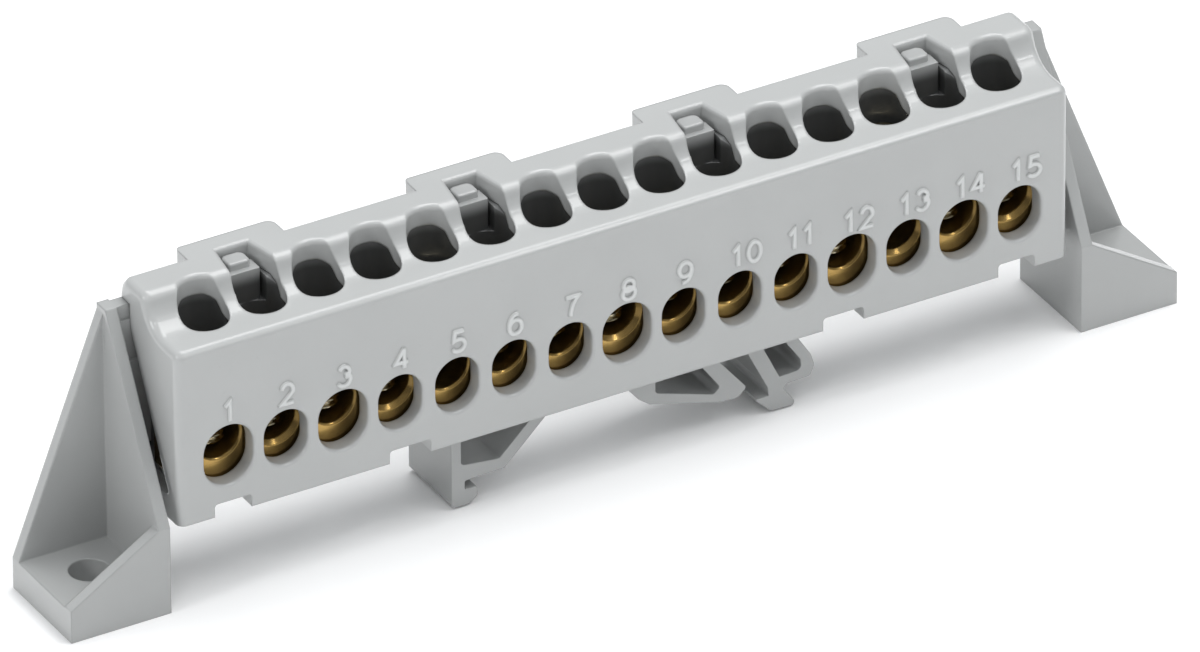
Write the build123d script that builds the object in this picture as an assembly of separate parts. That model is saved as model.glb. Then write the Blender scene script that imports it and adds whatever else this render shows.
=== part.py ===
from build123d import *
import os
from math import acos, cos, sin, tan, pi, radians, hypot

os.makedirs("parts", exist_ok=True)

# ---------------------------------------------------------------------------
# Insulated terminal busbar with 15 ways.
# X runs along the bar, Y runs from the numbered front face to the rear, Z is up.
# Everything is drawn with Y = 0 on the front face of the cover and is shifted at
# the end by y_shift, so that the origin lies at the middle of the footprint, on
# the plane that the two feet stand on. All lengths are millimetres.
# ---------------------------------------------------------------------------

# ways
n_ways = 15
pitch = 6.5
way_x = [(i - (n_ways - 1) / 2) * pitch for i in range(n_ways)]
axis_y = 5.15                 # plane of the bar's middle, the screws and the wells
y_shift = -6.4

# cover
half_len = 51.2
z_skirt = 9.3                 # lower edge of the cover
z_low = 29.3                  # front strip of the top
z_high = 32.7                 # rear plateau of the top
z_ceiling = 30.45             # its underside
z_front_ceiling = 28.35       # underside of the front strip
y_riser = 5.45                # foot of the sloped step between them
y_plateau = 6.9               # its top edge
r_riser = 3.5                 # hollow at its foot
y_rear_top = 10.8
y_rear = 12.0
wall = 1.9
end_wall = 1.5
r_end = 0.9                   # edges of both ends
top_break = 0.55              # bevel along the front top edge
bump_x0, bump_x1 = -5.05, 5.9 # rear bumps, from the axis of their way
bump_rear = 13.2
bump_h = 7.0
latch_ways = (2, 6, 10, 14)

# openings in the two end walls, beside the feet
end_y0, end_z0 = 2.0, 12.0
end_y1, end_z1 = 9.6, 27.6
end_top = 30.3

# wire entries in the front face: upright slots with round ends
entry_w, entry_h = 4.95, 6.22
entry_big_w, entry_big_h = 5.6, 6.8
entry_z = 16.03
big_ways = (1, 3, 8, 12, 14)
entry_rim = 0.35

# screwdriver wells
well_r = 2.6
well_mouth = 0.5              # its rounding on the plateau
well_dx = 0.18                # wells, half tubes and snap stems sit this far to +X of their way
screw_dx = 0.08               # and the screws this far

# latch windows: they flare from the rear edge to the width of the well
window_rear = 10.85
window_rear_half = 1.75
window_front = 6.4

# numbers
num_z = 19.9
num_h = 2.7
num_w = 1.85
num_stroke = 0.42
num_dx = 0.1                  # middle of a single digit, from its way
ten_x, unit_x = -0.3, 0.65    # upright of a leading 1, left edge of the digit after it
num_raise = 0.22

# skirt notches: centre, width
notches = ((45.1, 4.2), (24.95, 4.7))
notch_h = 1.45

# bar
bar_y0, bar_d = 2.15, 6.0
bar_z0, bar_h = 12.2, 9.0
bar_half = 49.5
wire_r = 2.4
wire_z = 17.0
wire_rim, wire_rim_broad = 0.2, 0.5
broad_ways = (2, 4, 8, 13, 15)
tap_r = 2.05

# clamp screws: most are screwed right down, some are backed off a little, and
# those of ways 5 and 13 stand well up
screw_r = 2.0
screw_tip_z = 14.95
screw_tip_r = 1.1
screw_tip_h = 0.9
screw_lift = {5: 3.0, 6: 0.35, 7: 0.35, 9: 0.35, 10: 0.35, 11: 0.35, 13: 3.6}
head_r = 2.35
head_h = 2.1
slot_w, slot_d = 0.8, 1.1

# base
floor_z0 = 10.0
base_half = 49.3
back_y0, back_y1 = 8.25, 10.05
back_top = 30.3
rib_y0 = 5.6
rib_z0, rib_z1 = 21.35, 28.2
scallop_r = 2.95
stem_w = 3.4
stem_gap = 0.35
stem_z0 = 27.5                # foot of the slits beside the stem
stem_y0 = 8.1
stem_top = 31.1
head_x0, head_x1 = -1.45, 1.05
head_y0, head_y1 = 8.7, 10.7
head_top = 31.95

# rail clips
clip_y0, clip_y1 = 2.15, 10.9

# corner feet
foot_in, foot_out = 52.5, 63.8
foot_y0, foot_y1 = -0.4, 11.7
foot_floor = 3.6
foot_wall = 1.3
foot_front_in = 10.0
foot_apex = 30.2
foot_hole_r = 2.1
foot_hole_x, foot_hole_y = 58.4, 5.75
bridge_x, bridge_h = 49.6, 1.7  # upper link to the housing
tongue_x = 46.2                # lower tongue, lapped behind the base's rear wall
tongue_y0, tongue_y1 = 9.25, 10.0
tongue_z0, tongue_z1 = 14.0, 24.0
web_x, web_y0 = 49.45, 9.65   # web between the bridge and the tongue, in the mouth of the end opening


# --------------------------- helpers --------------------------------------
def outline(points):
    """Corner list (u, v) or (u, v, radius) -> list of ('L', a, b) and ('A', a, m, b)."""
    n = len(points)
    cut = []
    for i, p in enumerate(points):
        r = p[2] if len(p) > 2 else 0.0
        a, b = points[i - 1], points[(i + 1) % n]
        if r <= 0:
            cut.append(((p[0], p[1]), None, (p[0], p[1])))
            continue
        ax, ay = a[0] - p[0], a[1] - p[1]
        bx, by = b[0] - p[0], b[1] - p[1]
        la, lb = hypot(ax, ay), hypot(bx, by)
        ax, ay, bx, by = ax / la, ay / la, bx / lb, by / lb
        ang = acos(max(-1.0, min(1.0, ax * bx + ay * by)))
        t = r / tan(ang / 2)
        mx, my = ax + bx, ay + by
        lm = hypot(mx, my)
        reach = r / sin(ang / 2)
        cx, cy = p[0] + mx / lm * reach, p[1] + my / lm * reach
        mid = (cx - mx / lm * r, cy - my / lm * r)
        cut.append(((p[0] + ax * t, p[1] + ay * t), mid, (p[0] + bx * t, p[1] + by * t)))
    parts = []
    for i, (s, m, e) in enumerate(cut):
        if m is not None:
            parts.append(("A", s, m, e))
        nxt = cut[(i + 1) % n][0]
        if hypot(nxt[0] - e[0], nxt[1] - e[1]) > 1e-6:
            parts.append(("L", e, nxt))
    return parts


def face_of(points, place):
    edges = []
    for part in outline(points):
        pts = [place(*q) for q in part[1:]]
        edges.append(Line(*pts) if part[0] == "L" else ThreePointArc(*pts))
    return make_face(edges)


def prism_x(points, x0, x1):
    """Solid from a (Y, Z) outline between two X planes."""
    return extrude(face_of(points, lambda y, z: (x0, y, z)), amount=x1 - x0, dir=(1, 0, 0))


def prism_y(points, y0, y1):
    """Solid from an (X, Z) outline between two Y planes."""
    return extrude(face_of(points, lambda x, z: (x, y0, z)), amount=y1 - y0, dir=(0, 1, 0))


def block(x0, x1, y0, y1, z0, z1):
    return Pos((x0 + x1) / 2, (y0 + y1) / 2, (z0 + z1) / 2) * Box(x1 - x0, y1 - y0, z1 - z0)


def rod_z(x, y, r, z0, z1):
    return Pos(x, y, (z0 + z1) / 2) * Cylinder(r, z1 - z0)


def rod_y(x, z, r, y0, y1):
    return Pos(x, (y0 + y1) / 2, z) * Rot(90, 0, 0) * Cylinder(r, y1 - y0)


def turned_z(profile, x, y):
    """Solid of revolution about an upright axis, from an (r, z) outline."""
    face = face_of(profile, lambda r, z: (r, 0, z))
    return Pos(x, y, 0) * revolve(face, axis=Axis.Z)


def mirror_x(shape):
    return shape.mirror(Plane.YZ)


def save(shape, name):
    solids = list(shape.solids())
    body = solids[0] if len(solids) == 1 else Compound(children=solids)
    placed = Pos(0, y_shift, 0) * body
    placed.label = name
    export_step(placed, "parts/%s.step" % name)
    print(name, len(solids), "solid(s)", round(sum(s.volume for s in solids), 2), "mm3")


# --------------------------- numbers --------------------------------------
def arc(cx, cy, rx, ry, a0, a1, n):
    return [(cx + rx * cos(radians(a0 + (a1 - a0) * i / n)), cy + ry * sin(radians(a0 + (a1 - a0) * i / n)))
            for i in range(n + 1)]


# strokes in a box 1 wide and H high; a closed stroke repeats its first point
H = num_h / num_w
GLYPH = {
    "0": [arc(0.5, H / 2, 0.5, H / 2, 90, 450, 20)],
    "1": [[(0.12, H * 0.74), (0.52, H), (0.52, 0.0)]],
    "2": [arc(0.5, H - 0.5, 0.46, 0.5, 165, -20, 9) + [(0.04, 0.0), (1.0, 0.0)]],
    "3": [arc(0.47, H - 0.44, 0.42, 0.44, 155, -78, 9), arc(0.47, 0.47, 0.5, 0.47, 82, -155, 11)],
    "4": [[(1.0, H * 0.3), (0.0, H * 0.3), (0.7, H)], [(0.7, H), (0.7, 0.0)]],
    "5": [[(0.92, H), (0.2, H), (0.12, H * 0.56)] + arc(0.48, 0.45, 0.52, 0.45, 112, -150, 11)],
    "6": [arc(0.5, 0.52, 0.5, 0.52, 0, 360, 16), arc(0.62, H * 0.48, 0.62, H * 0.52, 200, 78, 7)],
    "7": [[(0.0, H), (1.0, H)] + arc(1.3, 0.0, 0.92, 1.5, 128, 178, 4)],
    "8": [arc(0.5, H - 0.42, 0.42, 0.42, 0, 360, 16), arc(0.5, 0.46, 0.5, 0.46, 0, 360, 16)],
    "9": [arc(0.5, H - 0.52, 0.5, 0.52, 0, 360, 16), arc(0.38, H * 0.52, 0.62, H * 0.52, 20, -102, 7)],
}


def stroke_solid(pts, half):
    """One raised stroke standing on the front face."""
    closed = hypot(pts[0][0] - pts[-1][0], pts[0][1] - pts[-1][1]) < 1e-6
    p = pts[:-1] if closed else pts
    n = len(p)
    left, right = [], []
    for i in range(n):
        dirs = []
        if closed or i > 0:
            a, b = p[i - 1], p[i]
            dirs.append((b[0] - a[0], b[1] - a[1]))
        if closed or i < n - 1:
            a, b = p[i], p[(i + 1) % n]
            dirs.append((b[0] - a[0], b[1] - a[1]))
        dirs = [(dx / hypot(dx, dy), dy / hypot(dx, dy)) for dx, dy in dirs]
        sx, sy = sum(d[0] for d in dirs), sum(d[1] for d in dirs)
        length = hypot(sx, sy)
        nx, ny = -sy / length, sx / length
        k = 1.0
        if len(dirs) == 2:
            k = 1.0 / max(0.45, nx * -dirs[0][1] + ny * dirs[0][0])
        left.append((p[i][0] + nx * half * k, p[i][1] + ny * half * k))
        right.append((p[i][0] - nx * half * k, p[i][1] - ny * half * k))
    if closed:
        outer = prism_y(left, -num_raise, 0.3)
        inner = prism_y(right, -num_raise - 1, 1)
        return outer - inner if outer.volume > prism_y(right, -num_raise, 0.3).volume else prism_y(right, -num_raise, 0.3) - prism_y(left, -num_raise - 1, 1)
    return prism_y(left + right[::-1], -num_raise, 0.3)


def number_solids(text, x_way):
    inner = num_w - num_stroke
    z0 = num_z + num_stroke / 2
    zs = (num_h - num_stroke) / H
    if len(text) == 1:
        starts = [x_way + num_dx - num_w / 2 + num_stroke / 2]
    else:
        starts = [x_way + ten_x - 0.52 * inner, x_way + unit_x + num_stroke / 2 - (0.12 * inner if text[1] == "1" else 0)]
    return [stroke_solid([(x0 + u * inner, z0 + v * zs) for u, v in s], num_stroke / 2)
            for x0, ch in zip(starts, text) for s in GLYPH[ch]]


# --------------------------- cover ----------------------------------------
outer_yz = [(0, z_skirt), (0, z_low - top_break, 0.5), (top_break, z_low, 0.5), (y_riser, z_low, r_riser), (y_plateau, z_high, 1.2),
            (y_rear_top, z_high, 0.8), (y_rear - 0.35, z_high - 0.95, 0.8), (y_rear, z_high - 2.3, 1.0), (y_rear, z_skirt)]
inner_yz = [(wall, z_skirt - 1), (wall, z_front_ceiling, 0.3), (5.75, z_front_ceiling, 1.0), (6.55, 29.85, 0.5), (7.5, z_ceiling, 0.5),
            (y_rear - wall + 0.1, z_ceiling), (y_rear - wall + 0.1, z_skirt - 1)]

shell = prism_x(outer_yz, -half_len, half_len)

# both ends have all their edges rounded, apart from the lower one
for s in (1, -1):
    end_edges = [e for e in shell.edges() if abs(e.bounding_box().min.X - s * half_len) < 1e-4
                 and abs(e.bounding_box().max.X - s * half_len) < 1e-4 and e.center().Z > z_skirt + 0.1]
    shell = fillet(end_edges, r_end)

# rear bumps over the latches
for w in latch_ways:
    x = way_x[w - 1]
    bump = extrude(face_of([(x + bump_x0, y_rear - 2.5), (x + bump_x1, y_rear - 2.5), (x + bump_x1, bump_rear, 1.0),
                            (x + bump_x0, bump_rear, 0.5)], lambda px, py: (px, py, z_high - bump_h)),
                   amount=bump_h, dir=(0, 0, 1))
    shell = shell + bump

# hollow inside
shell = shell - prism_x(inner_yz, -half_len + end_wall, half_len - end_wall)

# the end walls are open behind a slope that runs beside the feet
end_open = [(end_y0, end_z0, 0.4), (end_y1, end_z1), (end_y1, end_top), (y_rear - wall + 0.1, end_top), (y_rear - wall + 0.1, end_z0)]
for s in (-1, 1):
    x0, x1 = (half_len - end_wall - 0.5, half_len + 1) if s > 0 else (-half_len - 1, -half_len + end_wall + 0.5)
    shell = shell - prism_x(end_open, x0, x1)
    shell = shell - block(x0, x1, end_y1, y_rear + 1, foot_apex - bridge_h - 0.1, end_top)

# screwdriver wells with a rounded mouth on the plateau
for wx in way_x:
    x = wx + well_dx
    shell = shell - rod_z(x, axis_y, well_r, z_front_ceiling - 4, z_high + 2)
    m, k = well_mouth, well_mouth * (1 - cos(pi / 4))
    mouth = make_face([Line((0, 0, z_high - m), (well_r, 0, z_high - m)),
                       ThreePointArc((well_r, 0, z_high - m), (well_r + k, 0, z_high - k), (well_r + m, 0, z_high)),
                       Line((well_r + m, 0, z_high), (well_r + m, 0, z_high + 1)), Line((well_r + m, 0, z_high + 1), (0, 0, z_high + 1)),
                       Line((0, 0, z_high + 1), (0, 0, z_high - m))])
    shell = shell - Pos(x, axis_y, 0) * revolve(mouth, axis=Axis.Z)

# latch windows, with the edge on the plateau broken in two steps
for w in latch_ways:
    x = way_x[w - 1] + well_dx
    xw = way_x[w - 1] + well_dx / 2
    for z0, y1, grow, taper in ((z_front_ceiling - 0.2, 9.5, 0.0, 0), (z_ceiling - 0.1, window_rear, 0.0, 0), (z_high - 0.4, window_rear, 0.0, -22),
                                (z_high - 0.16, window_rear, 0.1, -55)):
        half = window_rear_half + (well_r - 0.02 - window_rear_half) * (window_rear - y1) / (window_rear - window_front)
        keyhole = [(xw + half + grow, y1 + grow), (x + well_r - 0.02 + grow, window_front), (x + well_r - 0.02 + grow, axis_y + 0.6),
                   (x - well_r + 0.02 - grow, axis_y + 0.6), (x - well_r + 0.02 - grow, window_front), (xw - half - grow, y1 + grow)]
        face = face_of(keyhole, lambda px, py: (px, py, z0))
        shell = shell - (extrude(face, amount=5, dir=(0, 0, 1), taper=taper) if taper else extrude(face, amount=5, dir=(0, 0, 1)))

# skirt notches
for c, w in notches:
    for s in (-1, 1):
        x0 = s * c - w / 2
        shell = shell - prism_y([(x0, z_skirt - 1), (x0 + w, z_skirt - 1), (x0 + w, z_skirt + notch_h, 0.4),
                                 (x0, z_skirt + notch_h, 0.4)], -1, wall + 0.5)

# wire entries with a rounded rim
for i, x in enumerate(way_x):
    w, h = (entry_big_w, entry_big_h) if i + 1 in big_ways else (entry_w, entry_h)
    plane = Plane(origin=(x + 0.06, 0, entry_z), x_dir=(1, 0, 0), z_dir=(0, -1, 0))
    slot = plane * SlotOverall(h, w, rotation=90)
    shell = shell - extrude(slot, amount=-(wall + 0.8)) - extrude(slot, amount=1.0)
front_edges = [e for e in shell.edges()
               if abs(e.bounding_box().min.Y) < 1e-4 and abs(e.bounding_box().max.Y) < 1e-4
               and abs(e.center().Z - entry_z) < 4.5 and abs(e.center().X) < half_len - 2]
shell = fillet(front_edges, entry_rim)

# raised numbers
digits = []
for i, x in enumerate(way_x):
    strokes = number_solids(str(i + 1), x)
    digits.append(strokes[0].fuse(*strokes[1:]) if len(strokes) > 1 else strokes[0])
shell = shell.fuse(*digits)

save(shell, "cover")

# --------------------------- bar ------------------------------------------
bar = block(-bar_half, bar_half, bar_y0, bar_y0 + bar_d, bar_z0, bar_z0 + bar_h)
bar = chamfer(bar.edges().filter_by(Axis.X), 0.2)
for i, x in enumerate(way_x):
    rim = wire_rim_broad if i + 1 in broad_ways else wire_rim
    bar = bar - rod_y(x, wire_z, wire_r, bar_y0 - 1, bar_y0 + bar_d + 1)
    bar = bar - Pos(x, bar_y0 + rim / 2, wire_z) * Rot(-90, 0, 0) * Cone(wire_r + rim, wire_r, rim)
    bar = bar - rod_z(x + screw_dx, axis_y, tap_r, wire_z, bar_z0 + bar_h + 1)
save(bar, "busbar")

# --------------------------- clamp screws ---------------------------------
for i, wx in enumerate(way_x):
    x, lift = wx + screw_dx, screw_lift.get(i + 1, 0.0)
    tip, head = screw_tip_z + lift, bar_z0 + bar_h + lift
    top = head + head_h
    prof = [(0, tip), (screw_tip_r, tip), (screw_r, tip + screw_tip_h), (screw_r, head), (head_r, head), (head_r, top - 0.4),
            (head_r - 0.4, top), (0, top)]
    screw = turned_z(prof, x, axis_y)
    screw = screw - block(x - 3, x + 3, axis_y - slot_w / 2, axis_y + slot_w / 2, top - slot_d, top + 1)
    screw = screw - block(x - slot_w / 2, x + slot_w / 2, axis_y - 1.5, axis_y + 1.5, top - slot_d, top + 1)
    save(screw, "terminal_screw_%02d" % (i + 1))

# --------------------------- base -----------------------------------------
base = block(-base_half, base_half, clip_y0, back_y1, floor_z0, bar_z0)
base = base + block(-base_half, base_half, back_y0, back_y1, floor_z0, back_top)
base = base + prism_x([(rib_y0, rib_z0), (back_y0 + 0.2, rib_z0), (back_y0 + 0.2, back_top), (7.55, back_top), (6.6, 29.7),
                       (5.85, rib_z1), (rib_y0, rib_z1)], -base_half, base_half)
for wx in way_x:
    base = base - rod_z(wx + well_dx, axis_y, scallop_r, rib_z0 - 1, back_top + 2)
for w in latch_ways:
    x = way_x[w - 1]
    half = stem_w / 2
    base = base - block(x - half - stem_gap, x + half + stem_gap, rib_y0 - 1, back_y1 + 1, stem_z0, back_top + 1)
    base = base + block(x - half, x + half, stem_y0, back_y1 - 0.1, stem_z0 - 0.1, stem_top)
    head = extrude(face_of([(x + head_x0, head_y0, 0.3), (x + head_x1, head_y0, 0.45), (x + head_x1, head_y1, 0.8), (x + head_x0, head_y1, 0.6)],
                           lambda px, py: (px, py, stem_top - 0.1)), amount=head_top - stem_top + 0.1, dir=(0, 0, 1))
    head = fillet(head.faces().sort_by(Axis.Z)[-1].edges(), 0.28)
    base = base + head

# fixed rail clip, middle seat and spring rail clip
fixed_out = [(-19.1, 9.2), (-19.1, 0.25, 0.5), (-17.0, 0.25, 0.8), (-16.1, 1.0, 0.6), (-16.2, 2.05, 0.15), (-17.6, 2.05, 0.2),
             (-17.6, 3.1, 0.2), (-13.05, 3.2), (-6.8, 9.2)]
fixed_in = [(-18.0, 9.9), (-18.0, 5.0, 0.5), (-13.6, 4.5, 0.3), (-8.4, 9.9)]
seat_out = [(0.1, 9.2), (2.4, 6.4, 1.2), (3.7, 5.4, 0.8), (11.76, 3.12), (13.9, 3.0, 0.9), (14.95, 3.95, 0.4), (10.7, 9.2)]
seat_in = [(4.38, 9.9), (4.38, 6.5, 0.5), (11.1, 4.25, 0.5), (11.9, 4.9, 0.4), (8.6, 9.9)]
spring_out = [(14.45, 9.2), (15.25, 7.5), (17.4, 3.1, 0.1), (17.5, 2.1, 0.1), (15.9, 2.05, 0.1), (17.7, 0.25, 0.2), (20.3, 0.1, 0.4),
              (20.5, 0.6, 0.3), (19.2, 2.4, 0.3), (19.6, 2.9, 0.3), (22.3, 3.0, 0.5), (22.8, 4.2, 0.7), (22.4, 5.5, 0.6), (20.05, 9.2)]
spring_in = [(16.1, 9.9), (18.75, 3.95, 0.2), (21.3, 4.05, 0.6), (21.2, 5.3, 0.4), (18.3, 9.9)]
for out, hole in ((fixed_out, fixed_in), (seat_out, seat_in), (spring_out, spring_in)):
    clip = prism_y(out, clip_y0, clip_y1)
    xs = [p[0] for p in out if p[1] > 9]
    clip = clip + block(min(xs), max(xs), clip_y0, back_y1, 9.0, floor_z0 + 0.5)
    clip = clip - prism_y([(p[0], min(p[1], 9.5)) + tuple(p[2:]) for p in hole], clip_y0 - 1, clip_y1 + 1)
    base = base + clip
for s in (-1, 1):
    x0, x1 = sorted((s * (tongue_x - 0.2), s * (base_half + 1)))
    base = base - block(x0, x1, tongue_y0 - 0.05, back_y1 + 1, tongue_z0 - 0.1, tongue_z1 + 0.1)
save(base, "base")

# --------------------------- corner feet ----------------------------------
foot = block(foot_in, foot_out, foot_y0, foot_y1, 0, foot_floor)
foot = foot + prism_y([(foot_in, 0), (foot_out, 0), (foot_out, foot_floor + 0.1), (foot_in + foot_wall, foot_front_in, 0.5),
                       (foot_in, foot_front_in)], foot_y0, foot_y0 + foot_wall)
foot = foot + prism_x([(foot_y0, 0), (foot_y1, 0), (foot_y1, foot_apex), (foot_y1 - 1.8, foot_apex), (foot_y0, foot_front_in)],
                      foot_in, foot_in + foot_wall)
foot = foot + prism_y([(foot_in, 0), (foot_out, 0), (foot_out, foot_floor), (foot_in + foot_wall, foot_apex - 0.6, 0.6),
                       (foot_in + foot_wall - 0.4, foot_apex), (foot_in, foot_apex)], foot_y1 - foot_wall, foot_y1)
foot = foot + block(bridge_x, foot_in + 0.2, foot_y1 - 1.8, foot_y1 - 0.3, foot_apex - bridge_h, foot_apex)
foot = foot + block(tongue_x, foot_in + 0.2, tongue_y0, tongue_y1, tongue_z0, tongue_z1)
foot = foot + block(web_x, foot_in + 0.2, web_y0, tongue_y1, tongue_z1 - 0.2, foot_apex - bridge_h + 0.1)
foot = foot + block(web_x, foot_in + 0.2, tongue_y0, tongue_y1, end_z0 + 0.1, tongue_z0 + 0.2)
foot = foot - rod_z(foot_hole_x, foot_hole_y, foot_hole_r, -1, foot_floor + 1)
save(foot, "bracket_right")
save(mirror_x(foot), "bracket_left")
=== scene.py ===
import math

import bmesh
import bpy
from mathutils import Matrix, Vector


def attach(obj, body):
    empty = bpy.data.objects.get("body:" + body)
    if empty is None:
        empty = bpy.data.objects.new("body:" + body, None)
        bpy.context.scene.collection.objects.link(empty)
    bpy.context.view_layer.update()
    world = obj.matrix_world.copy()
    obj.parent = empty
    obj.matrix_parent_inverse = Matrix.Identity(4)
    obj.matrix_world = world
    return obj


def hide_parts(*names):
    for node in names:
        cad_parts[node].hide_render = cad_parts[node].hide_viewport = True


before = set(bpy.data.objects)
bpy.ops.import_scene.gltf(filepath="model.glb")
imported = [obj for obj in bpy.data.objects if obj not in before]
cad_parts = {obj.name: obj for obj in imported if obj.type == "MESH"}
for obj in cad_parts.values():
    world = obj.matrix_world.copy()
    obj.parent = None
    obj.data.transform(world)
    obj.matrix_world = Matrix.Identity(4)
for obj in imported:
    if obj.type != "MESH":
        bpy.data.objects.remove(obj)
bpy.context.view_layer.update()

scene = bpy.context.scene

# ------------------------------------------------------------------ camera
AZ, EL, ROLL = math.radians(-29.56), math.radians(31.65), math.radians(-0.38)
DIST = 2.4
TARGET = Vector((0.0, -0.0004, 0.016))
back = Vector((math.sin(AZ) * math.cos(EL), -math.cos(AZ) * math.cos(EL), math.sin(EL)))
right = Vector((math.cos(AZ), math.sin(AZ), 0.0))
up = back.cross(right)
c, s = math.cos(ROLL), math.sin(ROLL)
right, up = c * right + s * up, -s * right + c * up
cam_data = bpy.data.cameras.new("camera")
cam = bpy.data.objects.new("camera", cam_data)
scene.collection.objects.link(cam)
m = Matrix((right, up, back)).transposed().to_4x4()
m.translation = TARGET + back * DIST
cam.matrix_world = m
cam_data.sensor_width = 36.0
cam_data.lens = 719.8
cam_data.shift_x = 0.00183
cam_data.shift_y = -0.01603
cam_data.clip_start, cam_data.clip_end = 0.05, 20.0
scene.camera = cam

# ------------------------------------------------------------------ sizes, in metres
MM = 0.001
PITCH = 6.5
WAY_X = [(i - 7) * PITCH for i in range(15)]
AXIS_Y = 5.15 - 6.4
SCREW_DX = 0.08
LIFT = {5: 3.0, 6: 0.35, 7: 0.35, 9: 0.35, 10: 0.35, 11: 0.35, 13: 3.6}
FACE_Y = -6.4


# ------------------------------------------------------------------ node helpers
def new_mat(name):
    mat = bpy.data.materials.new(name)
    mat.use_nodes = True
    nt = mat.node_tree
    bsdf = next(n for n in nt.nodes if n.type == "BSDF_PRINCIPLED")
    return mat, nt, bsdf


def node(nt, kind, **inputs):
    n = nt.nodes.new(kind)
    for k, v in inputs.items():
        n.inputs[k].default_value = v
    return n


def ramp(nt, stops):
    n = nt.nodes.new("ShaderNodeValToRGB")
    el = n.color_ramp.elements
    while len(el) < len(stops):
        el.new(0.5)
    for e, (p, col) in zip(el, stops):
        e.position = p
        e.color = (*col, 1.0) if len(col) == 3 else col
    return n


def coords(nt, scale=(1, 1, 1)):
    tc = nt.nodes.new("ShaderNodeTexCoord")
    mp = nt.nodes.new("ShaderNodeMapping")
    mp.inputs["Scale"].default_value = scale
    nt.links.new(tc.outputs["Object"], mp.inputs["Vector"])
    return mp.outputs["Vector"]


def fade(nt, value, lo, hi, a=0.0, b=1.0):
    """Smooth step of a value between two limits."""
    n = nt.nodes.new("ShaderNodeMapRange")
    n.interpolation_type = "SMOOTHSTEP"
    n.inputs["From Min"].default_value, n.inputs["From Max"].default_value = lo, hi
    n.inputs["To Min"].default_value, n.inputs["To Max"].default_value = a, b
    nt.links.new(value, n.inputs["Value"])
    return n.outputs["Result"]


def times(nt, a, b):
    n = nt.nodes.new("ShaderNodeMath")
    n.operation = "MULTIPLY"
    nt.links.new(a, n.inputs[0])
    nt.links.new(b, n.inputs[1])
    return n.outputs["Value"]


def mix(nt, fac, a, b):
    n = nt.nodes.new("ShaderNodeMix")
    n.data_type = "RGBA"
    nt.links.new(fac, n.inputs["Factor"])
    for value, socket in ((a, n.inputs[6]), (b, n.inputs[7])):
        if isinstance(value, tuple):
            socket.default_value = (*value, 1.0)
        else:
            nt.links.new(value, socket)
    return n.outputs[2]


# ------------------------------------------------------------------ plastic
def plastic(name, base, rough, edge, digit_highlight=False, inside=None):
    """Moulded grey plastic: faint mottling, slight surface waves, small edge radii."""
    mat, nt, b = new_mat(name)
    L = nt.links.new
    b.inputs["IOR"].default_value = 1.5
    b.inputs["Coat Weight"].default_value = 0.5
    b.inputs["Coat Roughness"].default_value = 0.06
    v = coords(nt)
    n1 = node(nt, "ShaderNodeTexNoise", Scale=95.0, Detail=3.0, Roughness=0.55)
    L(v, n1.inputs["Vector"])
    r1 = ramp(nt, [(0.3, tuple(x * 0.98 for x in base)), (0.7, tuple(min(1.0, x * 1.02) for x in base))])
    L(n1.outputs["Fac"], r1.inputs["Fac"])
    colour = r1.outputs["Color"]
    # fine specks of the compound
    n4 = node(nt, "ShaderNodeTexNoise", Scale=2600.0, Detail=2.0)
    L(v, n4.inputs["Vector"])
    colour = mix(nt, fade(nt, n4.outputs["Fac"], 0.66, 0.74, 0.0, 0.25), colour, tuple(x * 0.9 for x in base))
    sep = nt.nodes.new("ShaderNodeSeparateXYZ")
    L(v, sep.inputs["Vector"])
    if digit_highlight:
        # painted highlight: the raised numbers are coloured lighter than the face, standing in for the light their
        # edges catch
        front = fade(nt, sep.outputs["Y"], (FACE_Y - 0.05) * MM, (FACE_Y - 0.005) * MM, 1.0, 0.0)
        colour = mix(nt, front, colour, tuple(min(1.0, x * 1.4) for x in base))
    if inside:
        # painted shade: the base is darkened inside the housing, between the floor and the cover's top
        painted_inside_shade = times(nt, fade(nt, sep.outputs["Z"], inside[0] * MM, inside[1] * MM, 1.0, 0.0),
                     fade(nt, sep.outputs["Z"], 12.4 * MM, 14.0 * MM))
        colour = mix(nt, painted_inside_shade, colour, tuple(x * inside[2] for x in base))
    L(colour, b.inputs["Base Color"])
    n2 = node(nt, "ShaderNodeTexNoise", Scale=260.0, Detail=2.0)
    L(v, n2.inputs["Vector"])
    mr = nt.nodes.new("ShaderNodeMapRange")
    mr.inputs["To Min"].default_value = rough - 0.03
    mr.inputs["To Max"].default_value = rough + 0.05
    L(n2.outputs["Fac"], mr.inputs["Value"])
    L(mr.outputs["Result"], b.inputs["Roughness"])
    n3 = node(nt, "ShaderNodeTexNoise", Scale=330.0, Detail=2.0)
    L(v, n3.inputs["Vector"])
    bump = node(nt, "ShaderNodeBump", Strength=0.07, Distance=0.0002)
    L(n3.outputs["Fac"], bump.inputs["Height"])
    bev = nt.nodes.new("ShaderNodeBevel")
    bev.samples = 8
    bev.inputs["Radius"].default_value = edge
    L(bev.outputs["Normal"], bump.inputs["Normal"])
    L(bump.outputs["Normal"], b.inputs["Normal"])
    L(bump.outputs["Normal"], b.inputs["Coat Normal"])
    return mat


grey = (0.420, 0.428, 0.424)
cover_mat = plastic("cover_plastic", grey, 0.30, 0.00034, digit_highlight=True)
base_mat = plastic("base_plastic", tuple(x * 0.86 for x in grey), 0.30, 0.00018, inside=(29.2, 31.0, 0.2))
foot_mat = plastic("bracket_plastic", tuple(x * 0.88 for x in grey), 0.34, 0.0003)


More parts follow.
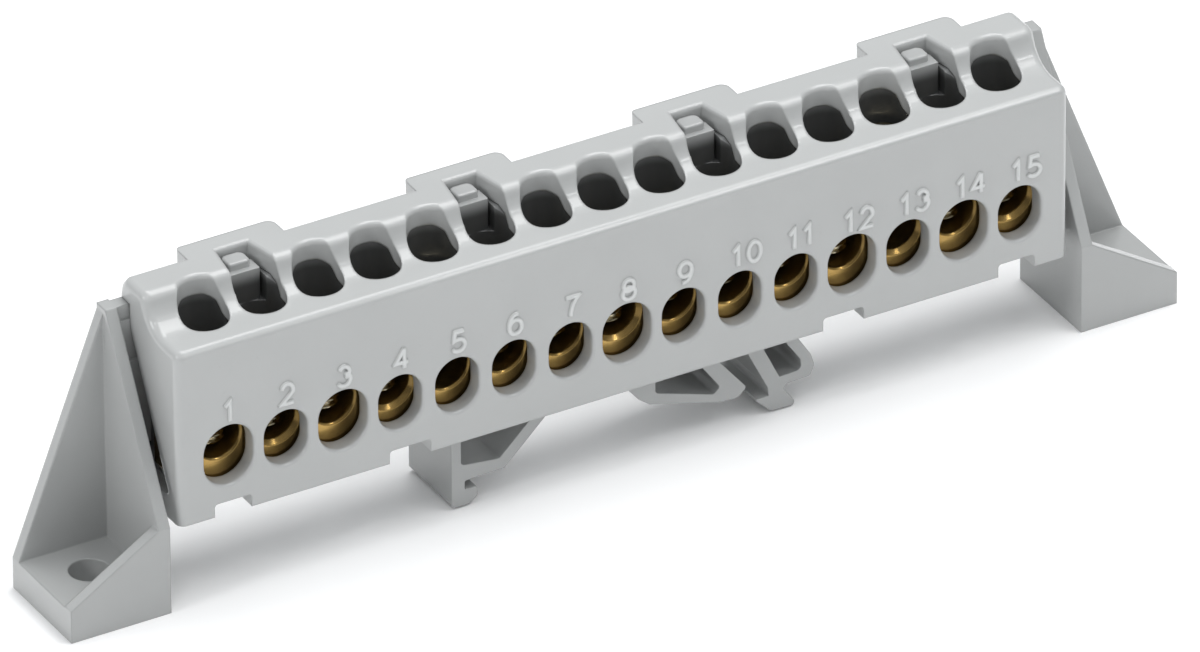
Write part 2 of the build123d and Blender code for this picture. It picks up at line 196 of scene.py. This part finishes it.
# ------------------------------------------------------------------ brass
def brass():
    mat, nt, b = new_mat("brass")
    L = nt.links.new
    b.inputs["Metallic"].default_value = 0.88
    v = coords(nt)
    n1 = node(nt, "ShaderNodeTexNoise", Scale=420.0, Detail=4.0, Roughness=0.6)
    L(v, n1.inputs["Vector"])
    r1 = ramp(nt, [(0.25, (0.36, 0.225, 0.065)), (0.6, (0.52, 0.34, 0.11)), (0.9, (0.68, 0.48, 0.18))])
    L(n1.outputs["Fac"], r1.inputs["Fac"])
    # painted shade: darker towards the right of each wire hole, standing in for the shadowed entry wall reflected in
    # the bar face
    sep = nt.nodes.new("ShaderNodeSeparateXYZ")
    L(v, sep.inputs["Vector"])
    way = node(nt, "ShaderNodeMath")
    way.operation = "MULTIPLY_ADD"
    way.inputs[1].default_value = 1.0 / (6.5 * MM)
    way.inputs[2].default_value = 20.5
    L(sep.outputs["X"], way.inputs[0])
    part = node(nt, "ShaderNodeMath")
    part.operation = "FRACT"
    L(way.outputs["Value"], part.inputs[0])
    painted_shade_right = fade(nt, part.outputs["Value"], 0.34, 0.76, 0.95, 0.35)
    shade = nt.nodes.new("ShaderNodeVectorMath")
    shade.operation = "SCALE"
    L(r1.outputs["Color"], shade.inputs[0])
    L(painted_shade_right, shade.inputs["Scale"])
    L(shade.outputs["Vector"], b.inputs["Base Color"])
    b.inputs["Roughness"].default_value = 0.22
    # drawing lines along the bar, and the rings that the drill left in the wire holes
    v2 = coords(nt, (60, 2600, 2600))
    n2 = node(nt, "ShaderNodeTexNoise", Scale=1.0, Detail=2.0)
    L(v2, n2.inputs["Vector"])
    bump = node(nt, "ShaderNodeBump", Strength=0.12, Distance=0.00005)
    L(n2.outputs["Fac"], bump.inputs["Height"])
    v3 = coords(nt, (120, 5200, 120))
    n3 = node(nt, "ShaderNodeTexNoise", Scale=1.0, Detail=1.0)
    L(v3, n3.inputs["Vector"])
    bump2 = node(nt, "ShaderNodeBump", Strength=0.2, Distance=0.00004)
    L(n3.outputs["Fac"], bump2.inputs["Height"])
    bev = nt.nodes.new("ShaderNodeBevel")
    bev.samples = 8
    bev.inputs["Radius"].default_value = 0.00022
    L(bev.outputs["Normal"], bump.inputs["Normal"])
    L(bump.outputs["Normal"], bump2.inputs["Normal"])
    L(bump2.outputs["Normal"], b.inputs["Normal"])
    return mat


brass_mat = brass()


# ------------------------------------------------------------------ screws
def steel():
    mat, nt, b = new_mat("screw_steel")
    L = nt.links.new
    b.inputs["Metallic"].default_value = 1.0
    v = coords(nt)
    n1 = node(nt, "ShaderNodeTexNoise", Scale=900.0, Detail=3.0)
    L(v, n1.inputs["Vector"])
    r1 = ramp(nt, [(0.3, (0.36, 0.31, 0.20)), (0.7, (0.66, 0.60, 0.44))])
    L(n1.outputs["Fac"], r1.inputs["Fac"])
    L(r1.outputs["Color"], b.inputs["Base Color"])
    n2 = node(nt, "ShaderNodeTexNoise", Scale=1500.0, Detail=2.0)
    L(v, n2.inputs["Vector"])
    L(fade(nt, n2.outputs["Fac"], 0.3, 0.7, 0.10, 0.22), b.inputs["Roughness"])
    bump = node(nt, "ShaderNodeBump", Strength=0.15, Distance=0.00004)
    L(n2.outputs["Fac"], bump.inputs["Height"])
    L(bump.outputs["Normal"], b.inputs["Normal"])
    return mat


steel_mat = steel()

SEG = 60
THREAD_P, ROOT_R, CREST_R = 0.7, 1.62, 1.97
SHANK, HEAD_R, HEAD_H = 6.29, 2.33, 2.04
SLOT_W, SLOT_D = 0.8, 1.1


def screw_template():
    """Cheese head screw with a cross slot, tip at Z = 0, in millimetres."""
    rings = []
    steps = 88
    for k in range(steps + 1):
        z = SHANK * k / steps
        limit = 1.1 + 0.9 * min(1.0, z / 0.9)
        ring = []
        for j in range(SEG):
            a = 2 * math.pi * j / SEG
            ph = (z / THREAD_P - j / SEG) % 1.0
            tri = 1.0 - abs(2 * ph - 1.0)
            r = ROOT_R + (CREST_R - ROOT_R) * min(1.0, max(0.0, (tri - 0.12) / 0.74))
            r = min(r, limit, CREST_R)
            ring.append((r * math.cos(a), r * math.sin(a), z))
        rings.append(ring)
    top = SHANK + HEAD_H
    for r, z in ((HEAD_R - 0.1, SHANK), (HEAD_R, SHANK + 0.1), (HEAD_R, top - 0.42), (HEAD_R - 0.05, top - 0.22), (HEAD_R - 0.17, top - 0.08),
                 (HEAD_R - 0.36, top - 0.01), (HEAD_R - 0.6, top)):
        rings.append([(r * math.cos(2 * math.pi * j / SEG), r * math.sin(2 * math.pi * j / SEG), z) for j in range(SEG)])
    bm = bmesh.new()
    grid = [[bm.verts.new(p) for p in ring] for ring in rings]
    for lower, upper in zip(grid, grid[1:]):
        for j in range(SEG):
            k = (j + 1) % SEG
            bm.faces.new((lower[j], lower[k], upper[k], upper[j]))
    bm.faces.new(list(reversed(grid[0])))
    bm.faces.new(grid[-1])
    mesh = bpy.data.meshes.new("screw_template")
    bm.to_mesh(mesh)
    bm.free()

    # the cross slot
    h, e = SLOT_W / 2, 3.0
    plus = [(h, h), (h, 1.5), (-h, 1.5), (-h, h), (-e, h), (-e, -h), (-h, -h), (-h, -1.5), (h, -1.5), (h, -h), (e, -h), (e, h)]
    bm = bmesh.new()
    low = [bm.verts.new((x, y, top - SLOT_D)) for x, y in plus]
    high = [bm.verts.new((x, y, top + 1.0)) for x, y in plus]
    bm.faces.new(list(reversed(low)))
    bm.faces.new(high)
    for j in range(len(plus)):
        k = (j + 1) % len(plus)
        bm.faces.new((low[j], low[k], high[k], high[j]))
    bmesh.ops.recalc_face_normals(bm, faces=bm.faces)
    cut_mesh = bpy.data.meshes.new("slot_cut")
    bm.to_mesh(cut_mesh)
    bm.free()

    a = bpy.data.objects.new("screw_template", mesh)
    b = bpy.data.objects.new("slot_cut", cut_mesh)
    scene.collection.objects.link(a)
    scene.collection.objects.link(b)
    mod = a.modifiers.new("cut", "BOOLEAN")
    mod.operation, mod.solver, mod.object = "DIFFERENCE", "EXACT", b
    dg = bpy.context.evaluated_depsgraph_get()
    out = bpy.data.meshes.new_from_object(a.evaluated_get(dg))
    for o in (a, b):
        bpy.data.objects.remove(o)
    return out


template = screw_template()
for i, wx in enumerate(WAY_X):
    number = i + 1
    mesh = template.copy()
    mesh.name = "screw_mesh_%02d" % number
    turn = Matrix.Rotation(math.radians((37 * number * number + 11 * number) % 90), 4, "Z")
    lift = LIFT.get(number, 0.0)
    place = Matrix.Translation(Vector(((wx + SCREW_DX) * MM, AXIS_Y * MM, (14.95 + lift) * MM))) @ Matrix.Scale(MM, 4) @ turn
    bm = bmesh.new()
    bm.from_mesh(mesh)
    bmesh.ops.transform(bm, matrix=place, verts=bm.verts)
    for f in bm.faces:
        f.smooth = True
    for e in bm.edges:
        if len(e.link_faces) == 2 and e.calc_face_angle(0.0) > math.radians(38):
            e.smooth = False
    bm.to_mesh(mesh)
    bm.free()
    mesh.materials.clear()
    mesh.materials.append(steel_mat)
    piece = bpy.data.objects.new("clamp_screw_%02d" % number, mesh)
    scene.collection.objects.link(piece)
    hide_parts("terminal_screw_%02d" % number)
    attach(piece, "screw_%02d" % number)

mats = {"cover": cover_mat, "base": base_mat, "busbar": brass_mat, "bracket_left": foot_mat, "bracket_right": foot_mat}
for name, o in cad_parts.items():
    mat = mats.get(name, steel_mat)
    for slot in o.material_slots:
        slot.material = mat

# ------------------------------------------------------------------ floor and light
floor_mesh = bpy.data.meshes.new("floor")
R = 3.0
floor_mesh.from_pydata([(-R, -R, 0), (R, -R, 0), (R, R, 0), (-R, R, 0)], [], [(0, 1, 2, 3)])
floor = bpy.data.objects.new("floor", floor_mesh)
scene.collection.objects.link(floor)
fmat, fnt, fb = new_mat("floor_pale")
fb.inputs["Base Color"].default_value = (0.95, 0.95, 0.95, 1)
fb.inputs["Roughness"].default_value = 0.8
fb.inputs["Emission Color"].default_value = (1.0, 1.0, 1.0, 1)
fb.inputs["Emission Strength"].default_value = 0.02
floor_mesh.materials.append(fmat)

# studio: bright overhead, dim at the horizon and on the front side
world = bpy.data.worlds.new("studio")
scene.world = world
world.use_nodes = True
wnt = world.node_tree
bg = wnt.nodes["Background"]
wtc = wnt.nodes.new("ShaderNodeTexCoord")
wsep = wnt.nodes.new("ShaderNodeSeparateXYZ")
wnt.links.new(wtc.outputs["Generated"], wsep.inputs["Vector"])
wr = ramp(wnt, [(0.0, (0.35, 0.355, 0.36)), (0.25, (0.48, 0.49, 0.50)), (0.6, (0.92, 0.94, 0.96)), (1.0, (0.85, 0.87, 0.89))])
wnt.links.new(wsep.outputs["Z"], wr.inputs["Fac"])
wy = fade(wnt, wsep.outputs["Y"], -0.9, 0.2, 0.95, 0.9)
wm = wnt.nodes.new("ShaderNodeVectorMath")
wm.operation = "SCALE"
wnt.links.new(wr.outputs["Color"], wm.inputs[0])
wnt.links.new(wy, wm.inputs["Scale"])
wnt.links.new(wm.outputs["Vector"], bg.inputs["Color"])
bg.inputs["Strength"].default_value = 0.85


def softbox(name, pos, aim, size, power, colour=(1, 1, 1)):
    d = bpy.data.lights.new(name, "AREA")
    d.shape = "RECTANGLE"
    d.size, d.size_y = size
    d.energy = power
    d.color = colour
    o = bpy.data.objects.new(name, d)
    scene.collection.objects.link(o)
    o.location = pos
    o.rotation_mode = "QUATERNION"
    o.rotation_quaternion = (Vector(aim) - Vector(pos)).to_track_quat("-Z", "Y")
    return o


softbox("top_box", (0.22, 0.05, 0.9), (0.06, 0, 0.02), (0.95, 0.42), 6.0)
softbox("front_left_box", (-0.36, -0.36, 0.80), (0, 0, 0.02), (0.14, 0.10), 0.4)
softbox("front_right_box", (0.46, -0.42, 0.70), (0, 0, 0.02), (0.28, 0.06), 0.6)
softbox("left_box", (-0.85, -0.08, 0.45), (0, 0, 0.02), (0.22, 0.22), 1.8)

scene.view_settings.view_transform = "Standard"
scene.view_settings.look = "None"
